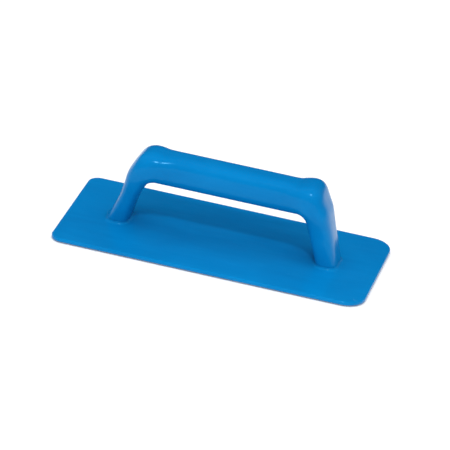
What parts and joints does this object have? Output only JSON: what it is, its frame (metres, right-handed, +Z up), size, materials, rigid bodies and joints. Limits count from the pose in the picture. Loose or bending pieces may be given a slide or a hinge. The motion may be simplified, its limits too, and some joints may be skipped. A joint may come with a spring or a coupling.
{
  "type": "hand sanding block",
  "caption": "Flat rectangular hand sanding block: a thin plastic plate with a hook face below and a hollow bow handle on two flared feet.",
  "frame": {"origin": "middle of the hook face's underside, where the block rests", "axes": "+X along the plate's length, +Y to the back, +Z up through the handle"},
  "size_m": [0.25, 0.12, 0.0693],
  "materials": {
    "blue_plastic": "glossy moulded polypropylene",
    "hook_nylon": "moulded nylon hooks on a woven backing",
    "adhesive": "translucent adhesive film",
    "screw_steel": "zinc-plated"
  },
  "bodies": {
    "root": {"hook_sheet": "hook_nylon", "adhesive_film": "adhesive", "base_plate": "blue_plastic", "handle_shell": "blue_plastic", "handle_grip_cover": "blue_plastic", "handle_screws": "screw_steel"}
  },
  "joints": []
}
